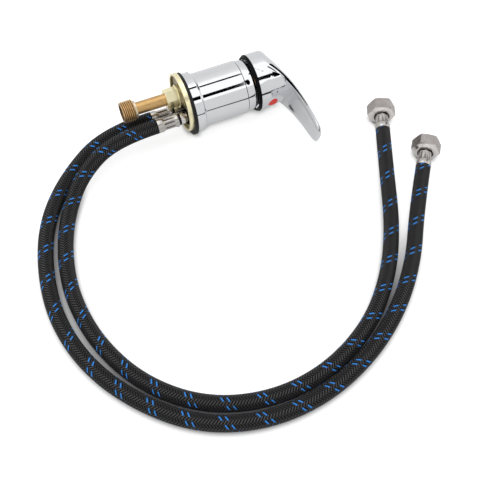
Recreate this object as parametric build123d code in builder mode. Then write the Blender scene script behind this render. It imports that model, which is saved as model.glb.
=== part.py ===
from build123d import *
from math import cos, radians, sin, sqrt, tan
import os

# Single-lever basin faucet lying on a table with its two inlet hoses.
# Every faucet piece is drawn upright on the deck-face centre, Z along the body, and laid down at the end.

# General fits
FIT = 0.05
RUN = 0.3
CUT_OVER = 1.0

# How it lies: the outlet port points up and back, the lever is at its hot stop
OUTLET_ROLL = 64.0
LEVER_STOP = 51.2

# Deck end of the body
GASKET_RADIUS = 30.5
GASKET_BORE = 22.0
GASKET_THICK = 3.2
BASE_RADIUS = 28.75
BASE_HEIGHT = 8.3
BASE_ROUND = 1.2
NECK_RISE = 1.6
NECK_ROUND = 1.4
RECESS_RADIUS = 24.0
RECESS_DEPTH = 6.3

# Barrel of the body
BODY_RADIUS = 26.1
BODY_HEIGHT = 57.0
COLLAR_RADIUS = 23.5
COLLAR_RISE = 4.0

# Ports
INLET_RING = 13.35
INLET_SPREAD = 49.2
INLET_BORE = 5.0
INLET_WEB = 4.5
INLET_PASSAGE = 2.6
OUTLET_OFFSET = 10.5
OUTLET_BORE = 6.0
OUTLET_WEB = 3.5
OUTLET_PASSAGE = 3.4

# Cartridge
CARTRIDGE_RADIUS = 20.0
CARTRIDGE_HEIGHT = 25.0
CARTRIDGE_SINK = 7.0
CARTRIDGE_SLACK = 0.2
CARTRIDGE_FLOOR = 4.5
HOUSING_WALL = 2.5
HOUSING_TOP = 3.5
SEAL_WIDTH = 1.7
SEAL_THICK = 1.6
DISC_THICK = 3.5
DISC_STROKE = 5.0
CHANNEL_DEPTH = 1.6
CHANNEL_RADIUS = 11.0
DRIVER_PLATE = 4.0
DRIVER_BLOCK = 11.0
DRIVER_OVER_BALL = 3.1
GUIDE_RADIUS = 14.0
GUIDE_FLANGE = 4.6
GUIDE_RISE = 4.6
NUT_THREAD_RADIUS = 21.5
NUT_SHOULDER = 1.0
NUT_HEX = 34.0
NUT_RISE = 5.5
NUT_BORE = 15.2

# Stem
PIVOT_RISE = 4.4
PIN_RADIUS = 2.0
PIN_LENGTH = 25.0
BALL_DROP = 13.0
BALL_RADIUS = 3.4
SHANK_RADIUS = 2.2
STEM_SIDE = 8.0
STEM_SHOULDER = 4.4
STEM_REACH = 21.1
STEM_SLOT_BACK = 6.5
STEM_SLOT_FRONT = 8.0

# Bonnet and skirt ring
BONNET_RADIUS = 25.5
BONNET_HEIGHT = 9.8
BONNET_WALL = 2.2
BONNET_HOLE = 17.0
BONNET_DOME = 1.6
BONNET_ROUND = 0.8
SEAM_CHAMFER = 0.4
RING_HEIGHT = 2.8
RING_LIP = 0.85
RING_EDGE = 0.5
SKIRT_RADIUS = 28.2
SKIRT_WALL = 2.0

# Lever: heights are above the skirt's edge, reach is forward of the body's axis
LEVER_REACH = 78.4
LEVER_SPRING = 3.0
WAIST_REACH = 12.0
WAIST_INSET = 4.2
LEVER_MIDDLE = (30.0, 20.6)
LEVER_END = (70.0, 14.6)
CROWN = ((-34.0, 16.4), (-5.0, 29.4), (20.0, 37.4), (47.0, 41.6), (84.0, 42.8))
CROWN_FLAT = 5.8
HOOD_EDGE = ((0.5, 0.0), (4.0, 5.0), (7.5, 14.4), (12.0, 22.6))
BLADE_EDGE = ((12.0, 22.6), (30.0, 30.4), (50.0, 35.3), (84.0, 37.6))
EDGE_ROUND = 6.5
CORE_INSET = ((0.3, 0.0), (1.0, 10.0), (1.8, 16.0), (2.8, 30.0))
BLADE_THICK = 3.6
POCKET_ARCH = 30.0
POCKET_MARGIN = 3.0
POCKET_START = 31.0
CAVITY_INSET = ((4.2, 7.0), (9.7, 16.0), (16.2, 21.0))
BOSS_RADIUS = 9.0
BOSS_RISE = 2.1
SCREW_HEIGHT = 12.0
SCREW_RADIUS = 2.5
SCREW_LENGTH = 8.0
SCREW_SOCKET = 1.25
PLUG_RADIUS = 5.0
PLUG_DEPTH = 4.4
PLUG_LENGTH = 3.4
PLUG_ROUND = 0.8

# Below the deck
PLATE_RADIUS = 28.5
PLATE_RIM = 4.2
PLATE_WALL = 2.0
PLATE_WEB = 2.0
PLATE_SHIFT = 3.0
PLATE_OPENING = 23.0
PLATE_OPENING_EDGE = -3.0
PLATE_HOLE_SLACK = 0.4
FIXING_HEX = 17.0
FIXING_LENGTH = 12.0
FIXING_FLANGE = 11.0
FIXING_FLANGE_THICK = 3.5
TUBE_BORE = 4.5
HEAD_RADIUS = 10.48
HEAD_LENGTH = 12.2
HEAD_START = 48.7
HEAD_BORE = 7.5
HEAD_CHAMFER = 0.9
STEP_RADIUS = 8.2
STEP_LENGTH = 1.9

# Hose ends at the faucet, distances below the deck face
TAIL_SHANK = 4.4
TAIL_NECK = 4.0
TAIL_BORE = 2.6
TAIL_NIPPLE = 3.6
COLLAR_OUTER = 5.5
GROOVE_AT = 3.5
COLLAR_AT = 5.0
SEAL_AT = 9.5
FERRULE_AT = 12.0
FERRULE_LENGTH = 21.0
FERRULE_RADIUS = 6.9
FERRULE_CRIMP = 6.35
FERRULE_PLAIN = 5.5
FERRULE_FLARE = 2.5
FLUTES = 8
FLUTE_RADIUS = 1.2

# Hose ends at the swivel nuts, distances from the hose's end
NUT_FERRULE_RADIUS = 7.15
NUT_FERRULE_LENGTH = 20.0
NUT_FERRULE_PLAIN = 6.0
NUT_FERRULE_CRIMP = 6.3
SWIVEL_HEX = 24.0
SWIVEL_AT = 16.5
SWIVEL_LENGTH = 14.0
SWIVEL_WALL = 4.4
SWIVEL_HOLE = 7.7
SWIVEL_BORE = 9.3
SWIVEL_CONE = 9.6
SWIVEL_CONE_LENGTH = 2.2
SWIVEL_CHAMFER = 0.6
FLANGE_RADIUS = 8.8
FLANGE_THICK = 2.0
WASHER_RADIUS = 8.9
WASHER_BORE = 5.5
WASHER_THICK = 2.0
THREAD_RELIEF = 0.4

# Hoses: where each ends on the table, which way it points there, and its bends
HOSE_RADIUS = 7.0
BEND_SHARE = 0.45
HOT_START_RUN = 42.0
HOT_END = (170.5, -90.0)
HOT_HEADING = 66.0
HOT_END_RUN = 48.0
HOT_BENDS = (
    (-114.0, -29.0, 14.0),
    (-140.0, -63.0, 7.0),
    (-155.0, -104.0, 7.0),
    (-161.0, -148.0, 7.0),
    (-154.0, -198.0, 7.0),
    (-131.0, -246.0, 7.0),
    (-91.0, -283.0, 7.0),
    (-39.0, -299.0, 7.0),
    (14.0, -294.0, 7.0),
    (64.0, -270.0, 7.0),
    (101.0, -233.0, 7.0),
    (129.0, -188.0, 7.0),
)
COLD_START_RUN = 47.0
COLD_END = (184.4, -144.5)
COLD_HEADING = 54.0
COLD_END_RUN = 50.0
COLD_BENDS = (
    (-129.0, -22.5, 7.0),
    (-160.5, -64.5, 7.0),
    (-176.0, -115.0, 7.0),
    (-179.5, -165.0, 7.0),
    (-167.0, -216.0, 7.0),
    (-139.0, -260.5, 7.0),
    (-101.0, -295.5, 7.0),
    (-53.0, -313.0, 7.0),
    (-1.0, -312.5, 7.0),
    (49.0, -295.5, 7.0),
    (92.0, -267.0, 7.0),
    (128.0, -229.0, 7.0),
)

# Heights that follow from the sizes
base_top = GASKET_THICK + BASE_HEIGHT
recess_top = GASKET_THICK + RECESS_DEPTH
housing_top = BODY_HEIGHT - CARTRIDGE_SINK
chamber_floor = housing_top - CARTRIDGE_HEIGHT
port_web = chamber_floor - recess_top
inlet_depth = port_web - INLET_WEB
outlet_depth = port_web - OUTLET_WEB
nut_shoulder = BODY_HEIGHT + NUT_SHOULDER
bonnet_top = BODY_HEIGHT + BONNET_HEIGHT
ring_base = bonnet_top + RUN
skirt_height = ring_base + RING_HEIGHT
skirt_bore = SKIRT_RADIUS - SKIRT_WALL
lever_waist = (WAIST_REACH, SKIRT_RADIUS - WAIST_INSET)
crown_arch = SKIRT_RADIUS + CROWN_FLAT
core_taper = [(SKIRT_RADIUS - inset, height) for inset, height in CORE_INSET]
cavity = [(SKIRT_RADIUS - inset, height) for inset, height in CAVITY_INSET]
plug_seat = SKIRT_RADIUS - PLUG_DEPTH
stem_top = skirt_height + STEM_REACH
pivot_height = BODY_HEIGHT + PIVOT_RISE
guide_top = pivot_height + GUIDE_RISE
ball_height = pivot_height - BALL_DROP
disc_seat = chamber_floor + CARTRIDGE_FLOOR
disc_face = disc_seat + DISC_THICK
driver_seat = disc_face + FIT + DISC_THICK
driver_shelf = driver_seat + DRIVER_PLATE
driver_top = ball_height + DRIVER_OVER_BALL
housing_bore = CARTRIDGE_RADIUS - HOUSING_WALL
moving_radius = housing_bore - RUN - DISC_STROKE / 2
inlet_x = INLET_RING * sin(radians(INLET_SPREAD))
inlet_y = -INLET_RING * cos(radians(INLET_SPREAD))
inlets = ((inlet_x, inlet_y), (-inlet_x, inlet_y))
nut_seat = PLATE_WEB
hose_start = FERRULE_AT + FERRULE_LENGTH
nut_height = SWIVEL_HEX / 2
BASE_ALIGN = (Align.CENTER, Align.CENTER, Align.MIN)


def half_section(*corners):
    """Closed half section on the XZ plane from (radius, height) corners."""
    with BuildSketch(Plane.XZ) as section:
        with BuildLine():
            Polyline(*corners, close=True)
        make_face()
    return section.sketch


def ring_section(inner, outer, low, high):
    """Half section of a plain ring."""
    return half_section((inner, low), (outer, low), (outer, high), (inner, high))


def rims(piece, radius):
    """Circular edges of that radius, lowest first."""
    circles = piece.edges().filter_by(GeomType.CIRCLE)
    return circles.filter_by(lambda edge: abs(edge.radius - radius) < FIT).sort_by(Axis.Z)


# Body and deck fittings
with BuildPart() as faucet_body:
    revolve(
        half_section(
            (RECESS_RADIUS, GASKET_THICK),
            (BASE_RADIUS, GASKET_THICK),
            (BASE_RADIUS, base_top),
            (BODY_RADIUS, base_top + NECK_RISE),
            (BODY_RADIUS, BODY_HEIGHT),
            (COLLAR_RADIUS, BODY_HEIGHT),
            (COLLAR_RADIUS, BODY_HEIGHT + COLLAR_RISE),
            (NUT_THREAD_RADIUS, BODY_HEIGHT + COLLAR_RISE),
            (NUT_THREAD_RADIUS, housing_top),
            (CARTRIDGE_RADIUS + CARTRIDGE_SLACK, housing_top),
            (CARTRIDGE_RADIUS + CARTRIDGE_SLACK, chamber_floor),
            (0, chamber_floor),
            (0, recess_top),
            (RECESS_RADIUS, recess_top),
        ),
        axis=Axis.Z,
    )
    fillet(rims(faucet_body, BASE_RADIUS)[-1], BASE_ROUND)
    fillet(rims(faucet_body, BODY_RADIUS)[0], NECK_ROUND)
    chamfer(rims(faucet_body, BODY_RADIUS)[-1], SEAM_CHAMFER)
    with Locations(*[(x, y, recess_top) for x, y in inlets]):
        Cylinder(INLET_BORE, inlet_depth, align=BASE_ALIGN, mode=Mode.SUBTRACT)
        Cylinder(INLET_PASSAGE, port_web + CUT_OVER, align=BASE_ALIGN, mode=Mode.SUBTRACT)
    with Locations((0, OUTLET_OFFSET, recess_top)):
        Cylinder(OUTLET_BORE, outlet_depth, align=BASE_ALIGN, mode=Mode.SUBTRACT)
        Cylinder(OUTLET_PASSAGE, port_web + CUT_OVER, align=BASE_ALIGN, mode=Mode.SUBTRACT)

with BuildPart() as base_gasket:
    revolve(ring_section(GASKET_BORE, GASKET_RADIUS, 0, GASKET_THICK), axis=Axis.Z)

with BuildPart() as clamp_plate:
    revolve(
        half_section(
            (0, 0),
            (PLATE_RADIUS, 0),
            (PLATE_RADIUS, -PLATE_RIM),
            (PLATE_RADIUS - PLATE_WALL, -PLATE_RIM),
            (PLATE_RADIUS - PLATE_WALL, -PLATE_WEB),
            (0, -PLATE_WEB),
        ),
        axis=Axis.Z,
    )
    with BuildSketch(Plane.XY):
        Circle(PLATE_OPENING)
        with Locations((0, PLATE_OPENING_EDGE)):
            Rectangle(2 * PLATE_OPENING, PLATE_OPENING, align=(Align.CENTER, Align.MAX), mode=Mode.INTERSECT)
        with Locations((0, OUTLET_OFFSET - PLATE_SHIFT)):
            Circle(OUTLET_BORE + PLATE_HOLE_SLACK)
    extrude(amount=-PLATE_WEB, mode=Mode.SUBTRACT)

with BuildPart() as fixing_nut:
    with BuildSketch(Plane.XY.offset(-nut_seat)):
        Circle(FIXING_FLANGE)
    extrude(amount=-FIXING_FLANGE_THICK)
    with BuildSketch(Plane.XY.offset(-nut_seat - FIXING_FLANGE_THICK)):
        RegularPolygon(FIXING_HEX / 2, 6, major_radius=False)
    extrude(amount=-FIXING_LENGTH)
    Cylinder(OUTLET_BORE + FIT, 4 * FIXING_LENGTH, mode=Mode.SUBTRACT)

with BuildPart() as outlet_tube:
    revolve(
        half_section(
            (TUBE_BORE, recess_top + outlet_depth - FIT),
            (OUTLET_BORE - FIT, recess_top + outlet_depth - FIT),
            (OUTLET_BORE - FIT, STEP_LENGTH - HEAD_START),
            (STEP_RADIUS, STEP_LENGTH - HEAD_START),
            (STEP_RADIUS, -HEAD_START),
            (HEAD_RADIUS - HEAD_CHAMFER, -HEAD_START),
            (HEAD_RADIUS, -HEAD_START - HEAD_CHAMFER),
            (HEAD_RADIUS, HEAD_CHAMFER - HEAD_START - HEAD_LENGTH),
            (HEAD_RADIUS - HEAD_CHAMFER, -HEAD_START - HEAD_LENGTH),
            (HEAD_BORE, -HEAD_START - HEAD_LENGTH),
            (HEAD_BORE, -HEAD_START),
            (TUBE_BORE, TUBE_BORE - HEAD_BORE - HEAD_START + STEP_LENGTH + HEAD_CHAMFER),
        ),
        axis=Axis.Z,
    )

# Cartridge
with BuildPart() as cartridge_base:
    with Locations((0, 0, chamber_floor)):
        Cylinder(CARTRIDGE_RADIUS, CARTRIDGE_FLOOR, align=BASE_ALIGN)
    with Locations(*[(x, y, chamber_floor) for x, y in inlets]):
        Cylinder(INLET_PASSAGE + SEAL_WIDTH + FIT, SEAL_THICK, align=BASE_ALIGN, mode=Mode.SUBTRACT)
        Cylinder(INLET_PASSAGE, CARTRIDGE_FLOOR, align=BASE_ALIGN, mode=Mode.SUBTRACT)
    with Locations((0, OUTLET_OFFSET, chamber_floor)):
        Cylinder(OUTLET_PASSAGE + SEAL_WIDTH + FIT, SEAL_THICK, align=BASE_ALIGN, mode=Mode.SUBTRACT)
        Cylinder(OUTLET_PASSAGE, CARTRIDGE_FLOOR, align=BASE_ALIGN, mode=Mode.SUBTRACT)

with BuildPart() as cartridge_seals:
    with Locations(*[(x, y, chamber_floor) for x, y in inlets]):
        Cylinder(INLET_PASSAGE + SEAL_WIDTH, SEAL_THICK, align=BASE_ALIGN)
        Cylinder(INLET_PASSAGE, SEAL_THICK, align=BASE_ALIGN, mode=Mode.SUBTRACT)
    with Locations((0, OUTLET_OFFSET, chamber_floor)):
        Cylinder(OUTLET_PASSAGE + SEAL_WIDTH, SEAL_THICK, align=BASE_ALIGN)
        Cylinder(OUTLET_PASSAGE, SEAL_THICK, align=BASE_ALIGN, mode=Mode.SUBTRACT)

with BuildPart() as fixed_disc:
    with Locations((0, 0, disc_seat)):
        Cylinder(housing_bore - FIT, DISC_THICK, align=BASE_ALIGN)
    with Locations(*[(x, y, disc_seat) for x, y in inlets]):
        Cylinder(INLET_PASSAGE, DISC_THICK, align=BASE_ALIGN, mode=Mode.SUBTRACT)
    with Locations((0, OUTLET_OFFSET, disc_seat)):
        Cylinder(OUTLET_PASSAGE, DISC_THICK, align=BASE_ALIGN, mode=Mode.SUBTRACT)

with BuildPart() as moving_disc:
    with Locations((-DISC_STROKE / 2, 0, disc_face + FIT)):
        Cylinder(moving_radius, DISC_THICK, align=BASE_ALIGN)
        Cylinder(CHANNEL_RADIUS, CHANNEL_DEPTH, align=BASE_ALIGN, mode=Mode.SUBTRACT)

with BuildPart() as disc_driver:
    with Locations((-DISC_STROKE / 2, 0, driver_seat)):
        Cylinder(moving_radius, DRIVER_PLATE, align=BASE_ALIGN)
    with Locations((0, 0, driver_shelf)):
        Box(DRIVER_BLOCK, DRIVER_BLOCK, driver_top - driver_shelf, align=BASE_ALIGN)
    with Locations((0, 0, ball_height - BALL_RADIUS - RUN)):
        Cylinder(BALL_RADIUS + RUN, driver_top, align=BASE_ALIGN, mode=Mode.SUBTRACT)

with BuildPart() as cartridge_housing:
    revolve(
        half_section(
            (housing_bore, disc_seat),
            (CARTRIDGE_RADIUS, disc_seat),
            (CARTRIDGE_RADIUS, housing_top),
            (GUIDE_RADIUS + RUN, housing_top),
            (GUIDE_RADIUS + RUN, housing_top - HOUSING_TOP),
            (housing_bore, housing_top - HOUSING_TOP),
        ),
        axis=Axis.Z,
    )

with BuildPart() as cartridge_guide:
    with Locations((0, 0, driver_shelf + RUN)):
        Cylinder(GUIDE_RADIUS, guide_top - driver_shelf - RUN, align=BASE_ALIGN)
        Cylinder(housing_bore - RUN, GUIDE_FLANGE, align=BASE_ALIGN)
    with BuildSketch(Plane.XY.offset(driver_shelf)):
        with Locations((-DRIVER_BLOCK / 2 - RUN, 0)):
            Rectangle(
                DRIVER_BLOCK + DISC_STROKE + 2 * RUN,
                DRIVER_BLOCK + 2 * RUN,
                align=(Align.MIN, Align.CENTER),
            )
    extrude(amount=driver_top + RUN - driver_shelf, mode=Mode.SUBTRACT)
    with BuildSketch(Plane.XY.offset(driver_shelf)):
        with Locations((-STEM_SLOT_BACK, 0)):
            Rectangle(
                STEM_SLOT_BACK + STEM_SLOT_FRONT,
                STEM_SIDE + 2 * RUN,
                align=(Align.MIN, Align.CENTER),
            )
    extrude(amount=guide_top, mode=Mode.SUBTRACT)
    with Locations(Location((0, 0, pivot_height), (90, 0, 0))):
        Cylinder(PIN_RADIUS + FIT, 2 * GUIDE_RADIUS, mode=Mode.SUBTRACT)

with BuildPart() as stem_pin:
    with Locations(Location((0, 0, pivot_height), (90, 0, 0))):
        Cylinder(PIN_RADIUS, PIN_LENGTH)

with BuildPart() as lever_stem:
    with Locations((0, 0, ball_height)):
        Sphere(BALL_RADIUS)
        Cylinder(SHANK_RADIUS, BALL_DROP - STEM_SHOULDER, align=BASE_ALIGN)
    with Locations((0, 0, pivot_height - STEM_SHOULDER)):
        Box(STEM_SIDE, STEM_SIDE, stem_top - pivot_height + STEM_SHOULDER, align=BASE_ALIGN)
    with Locations(Location((0, 0, pivot_height), (90, 0, 0))):
        Cylinder(PIN_RADIUS + FIT, 2 * STEM_SIDE, mode=Mode.SUBTRACT)

with BuildPart() as cartridge_nut:
    with Locations((0, 0, housing_top)):
        Cylinder(NUT_THREAD_RADIUS - FIT, nut_shoulder - housing_top, align=BASE_ALIGN)
    with BuildSketch(Plane.XY.offset(nut_shoulder)):
        RegularPolygon(NUT_HEX / 2, 6, major_radius=False)
    extrude(amount=NUT_RISE)
    with Locations((0, 0, housing_top)):
        Cylinder(NUT_BORE, nut_shoulder + NUT_RISE - housing_top, align=BASE_ALIGN, mode=Mode.SUBTRACT)

with BuildPart() as bonnet:
    with BuildSketch(Plane.XZ):
        with BuildLine():
            dome = TangentArc(
                (BONNET_RADIUS, BODY_HEIGHT + SEAM_CHAMFER),
                (BONNET_RADIUS - BONNET_DOME, bonnet_top),
                tangent=(0, 1),
            )
            Polyline(
                dome @ 1,
                (BONNET_HOLE, bonnet_top),
                (BONNET_HOLE, bonnet_top - BONNET_WALL),
                (COLLAR_RADIUS + FIT, bonnet_top - BONNET_WALL),
                (COLLAR_RADIUS + FIT, BODY_HEIGHT),
                (BONNET_RADIUS - SEAM_CHAMFER, BODY_HEIGHT),
                dome @ 0,
            )
        make_face()
    revolve(axis=Axis.Z)
    fillet(rims(bonnet, BONNET_RADIUS - BONNET_DOME)[-1], BONNET_ROUND)

# Lever, drawn pointing along +X
with BuildPart() as lever_core:
    revolve(
        half_section((0, -CUT_OVER), (core_taper[0][0], -CUT_OVER), *core_taper, (0, core_taper[-1][1])),
        axis=Axis.Z,
    )

with BuildPart() as lever_relief:
    with BuildSketch(Plane.XZ):
        with BuildLine():
            hood_line = Spline(*HOOD_EDGE)
            blade_line = Spline(*BLADE_EDGE)
            Polyline(
                BLADE_EDGE[-1],
                (BLADE_EDGE[-1][0], -CUT_OVER),
                (HOOD_EDGE[0][0], -CUT_OVER),
                HOOD_EDGE[0],
            )
        make_face()
    extrude(amount=2 * SKIRT_RADIUS, both=True)
    add(lever_core.part, mode=Mode.SUBTRACT)

# Hollow under the blade, which follows the crown at an even thickness
pocket_half = LEVER_MIDDLE[1]
with BuildPart() as lever_pocket:
    with BuildSketch(Plane.XY):
        with BuildLine():
            inner_flank = Line(
                (POCKET_START, LEVER_MIDDLE[1] - POCKET_MARGIN),
                (LEVER_END[0], LEVER_END[1] - POCKET_MARGIN),
            )
            Spline(
                inner_flank @ 1,
                (LEVER_REACH - POCKET_MARGIN, 0),
                tangents=(inner_flank % 1, (0, -1)),
            )
            Spline((POCKET_START - POCKET_MARGIN, 0), inner_flank @ 0, tangents=((0, 1), inner_flank % 0))
            mirror(about=Plane.XZ)
        make_face()
    extrude(amount=2 * SKIRT_RADIUS)
    with BuildLine(Plane.XZ):
        pocket_line = Spline(*CROWN)
    with BuildSketch(Plane(origin=pocket_line @ 0, x_dir=(0, 1, 0), z_dir=pocket_line % 0)):
        with BuildLine():
            pocket_drop = BLADE_THICK + POCKET_ARCH - sqrt(POCKET_ARCH**2 - pocket_half**2)
            ThreePointArc((-pocket_half, -pocket_drop), (0, -BLADE_THICK), (pocket_half, -pocket_drop))
            Polyline(
                (pocket_half, -pocket_drop),
                (pocket_half, -3 * SKIRT_RADIUS),
                (-pocket_half, -3 * SKIRT_RADIUS),
                (-pocket_half, -pocket_drop),
            )
        make_face()
    sweep(path=pocket_line, mode=Mode.INTERSECT)

with BuildPart() as lever_handle:
    spring_w = sqrt(SKIRT_RADIUS**2 - LEVER_SPRING**2)
    with BuildSketch(Plane.XY) as lever_plan:
        with BuildLine():
            ThreePointArc((LEVER_SPRING, spring_w), (-SKIRT_RADIUS, 0), (LEVER_SPRING, -spring_w))
            flank = Spline((LEVER_SPRING, spring_w), lever_waist, LEVER_MIDDLE, LEVER_END)
            Spline(LEVER_END, (LEVER_REACH, 0), tangents=(flank % 1, (0, -1)))
            mirror(about=Plane.XZ)
        make_face()
    extrude(amount=2 * SKIRT_RADIUS)
    with BuildLine(Plane.XZ):
        crown = Spline(*CROWN)
    with BuildSketch(Plane(origin=crown @ 0, x_dir=(0, 1, 0), z_dir=crown % 0)):
        with BuildLine():
            arch_drop = crown_arch - sqrt(crown_arch**2 - (SKIRT_RADIUS + CUT_OVER) ** 2)
            ThreePointArc(
                (-SKIRT_RADIUS - CUT_OVER, -arch_drop),
                (0, 0),
                (SKIRT_RADIUS + CUT_OVER, -arch_drop),
            )
            Polyline(
                (SKIRT_RADIUS + CUT_OVER, -arch_drop),
                (SKIRT_RADIUS + CUT_OVER, -3 * SKIRT_RADIUS),
                (-SKIRT_RADIUS - CUT_OVER, -3 * SKIRT_RADIUS),
                (-SKIRT_RADIUS - CUT_OVER, -arch_drop),
            )
        make_face()
    sweep(path=crown, mode=Mode.INTERSECT)

    hood_edges = lever_handle.edges().filter_by(GeomType.BSPLINE)
    fillet(hood_edges.filter_by(lambda e: e.center().Z > EDGE_ROUND), EDGE_ROUND)
    add(lever_relief.part, mode=Mode.SUBTRACT)
    add(lever_pocket.part, mode=Mode.SUBTRACT)
    revolve(
        half_section(
            (0, -CUT_OVER),
            (skirt_bore, -CUT_OVER),
            (skirt_bore, 0),
            *cavity,
            (BOSS_RADIUS, cavity[-1][1]),
            (BOSS_RADIUS, BOSS_RISE),
            (0, BOSS_RISE),
        ),
        axis=Axis.Z,
        mode=Mode.SUBTRACT,
    )
    with Locations((0, 0, BOSS_RISE)):
        Box(
            STEM_SIDE + 2 * FIT,
            STEM_SIDE + 2 * FIT,
            stem_top + RUN - skirt_height - BOSS_RISE,
            align=BASE_ALIGN,
            mode=Mode.SUBTRACT,
        )
    with BuildSketch(Plane.YZ):
        with Locations((0, SCREW_HEIGHT)):
            Circle(SCREW_RADIUS + FIT)
    extrude(amount=plug_seat, mode=Mode.SUBTRACT)
    with BuildSketch(Plane.YZ.offset(plug_seat)):
        with Locations((0, SCREW_HEIGHT)):
            Circle(PLUG_RADIUS + FIT)
    extrude(amount=SKIRT_RADIUS - plug_seat, mode=Mode.SUBTRACT)

with BuildPart() as skirt_ring:
    revolve(
        half_section(
            (BONNET_RADIUS + RUN, ring_base),
            (BONNET_RADIUS + RUN + RING_LIP, ring_base),
            (SKIRT_RADIUS, skirt_height - RING_EDGE),
            (SKIRT_RADIUS, skirt_height),
            (skirt_bore, skirt_height),
        ),
        axis=Axis.Z,
    )

with BuildPart() as indicator_plug:
    with BuildSketch(Plane.YZ.offset(plug_seat)):
        with Locations((0, SCREW_HEIGHT + skirt_height)):
            Circle(PLUG_RADIUS)
    extrude(amount=PLUG_LENGTH)
    fillet(indicator_plug.edges().sort_by(Axis.X)[-1], PLUG_ROUND)

with BuildPart() as handle_screw:
    with BuildSketch(Plane.YZ.offset(STEM_SIDE / 2)):
        with Locations((0, SCREW_HEIGHT + skirt_height)):
            Circle(SCREW_RADIUS)
    extrude(amount=SCREW_LENGTH)
    with BuildSketch(Plane.YZ.offset(STEM_SIDE / 2 + SCREW_LENGTH)):
        with Locations((0, SCREW_HEIGHT + skirt_height)):
            RegularPolygon(SCREW_SOCKET, 6, major_radius=False)
    extrude(amount=-SCREW_RADIUS, mode=Mode.SUBTRACT)

# Hose ends at the faucet, drawn on the port's axis
with BuildPart() as inlet_tail:
    revolve(
        half_section(
            (TAIL_BORE, recess_top + inlet_depth - FIT),
            (INLET_BORE - FIT, recess_top + inlet_depth - FIT),
            (INLET_BORE - FIT, recess_top),
            (TAIL_SHANK, recess_top),
            (TAIL_SHANK, -GROOVE_AT),
            (TAIL_NECK, -GROOVE_AT),
            (TAIL_NECK, -COLLAR_AT),
            (COLLAR_OUTER, -COLLAR_AT),
            (COLLAR_OUTER, -SEAL_AT),
            (TAIL_NIPPLE, -SEAL_AT),
            (TAIL_NIPPLE, -hose_start),
            (TAIL_BORE, -hose_start),
        ),
        axis=Axis.Z,
    )

with BuildPart() as inlet_seal:
    revolve(ring_section(TAIL_NIPPLE + FIT, COLLAR_OUTER, -FERRULE_AT, -SEAL_AT), axis=Axis.Z)

with BuildPart() as inlet_ferrule:
    revolve(
        half_section(
            (TAIL_NIPPLE + FIT, -FERRULE_AT),
            (FERRULE_RADIUS, -FERRULE_AT),
            (FERRULE_RADIUS, -FERRULE_AT - FERRULE_FLARE / 2),
            (FERRULE_CRIMP, -FERRULE_AT - FERRULE_FLARE),
            (FERRULE_CRIMP, FERRULE_PLAIN + CUT_OVER - hose_start),
            (FERRULE_RADIUS, FERRULE_PLAIN - hose_start),
            (FERRULE_RADIUS, -hose_start),
            (TAIL_NIPPLE + FIT, -hose_start),
        ),
        axis=Axis.Z,
    )
    with BuildSketch(Plane.XY.offset(FERRULE_PLAIN + CUT_OVER - hose_start)):
        with PolarLocations(FERRULE_CRIMP + FLUTE_RADIUS / 2, FLUTES):
            Circle(FLUTE_RADIUS)
    extrude(amount=FERRULE_LENGTH - FERRULE_PLAIN - CUT_OVER - FERRULE_FLARE, mode=Mode.SUBTRACT)

# Hose ends at the swivel nuts, drawn from the hose's end outwards
tail_flange = SWIVEL_AT + SWIVEL_WALL + RUN
washer_seat = tail_flange + FLANGE_THICK
with BuildPart() as nut_ferrule:
    revolve(
        half_section(
            (TAIL_NIPPLE + FIT, 0),
            (NUT_FERRULE_RADIUS, 0),
            (NUT_FERRULE_RADIUS, NUT_FERRULE_PLAIN),
            (NUT_FERRULE_CRIMP, NUT_FERRULE_PLAIN + CUT_OVER),
            (NUT_FERRULE_CRIMP, NUT_FERRULE_LENGTH),
            (TAIL_NIPPLE + FIT, NUT_FERRULE_LENGTH),
        ),
        axis=Axis.Z,
    )

with BuildPart() as nut_tail:
    revolve(
        half_section(
            (TAIL_BORE, 0),
            (TAIL_NIPPLE, 0),
            (TAIL_NIPPLE, NUT_FERRULE_LENGTH),
            (NUT_FERRULE_CRIMP, NUT_FERRULE_LENGTH),
            (NUT_FERRULE_CRIMP, tail_flange),
            (FLANGE_RADIUS, tail_flange),
            (FLANGE_RADIUS, washer_seat),
            (TAIL_BORE, washer_seat),
        ),
        axis=Axis.Z,
    )

with BuildPart() as nut_washer:
    revolve(ring_section(WASHER_BORE, WASHER_RADIUS, washer_seat, washer_seat + WASHER_THICK), axis=Axis.Z)

with BuildPart() as swivel_nut:
    with BuildSketch(Plane.XY.offset(SWIVEL_AT)):
        RegularPolygon(SWIVEL_HEX / 2, 6, major_radius=False)
    extrude(amount=SWIVEL_LENGTH)
    hex_corner = SWIVEL_HEX / sqrt(3)
    revolve(
        half_section(
            (0, SWIVEL_AT),
            (SWIVEL_CONE, SWIVEL_AT),
            (SWIVEL_HEX / 2, SWIVEL_AT + SWIVEL_CONE_LENGTH),
            (hex_corner, SWIVEL_AT + SWIVEL_CONE_LENGTH + SWIVEL_CHAMFER),
            (hex_corner, SWIVEL_AT + SWIVEL_LENGTH - SWIVEL_CHAMFER),
            (SWIVEL_HEX / 2, SWIVEL_AT + SWIVEL_LENGTH),
            (0, SWIVEL_AT + SWIVEL_LENGTH),
        ),
        axis=Axis.Z,
        mode=Mode.INTERSECT,
    )
    with Locations((0, 0, SWIVEL_AT)):
        Cylinder(SWIVEL_HOLE, SWIVEL_LENGTH, align=BASE_ALIGN, mode=Mode.SUBTRACT)
    with Locations((0, 0, SWIVEL_AT + SWIVEL_WALL)):
        Cylinder(SWIVEL_BORE, SWIVEL_LENGTH, align=BASE_ALIGN, mode=Mode.SUBTRACT)
        Cylinder(
            SWIVEL_BORE + THREAD_RELIEF,
            washer_seat + WASHER_THICK + FIT - SWIVEL_AT - SWIVEL_WALL,
            align=BASE_ALIGN,
            mode=Mode.SUBTRACT,
        )

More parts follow.
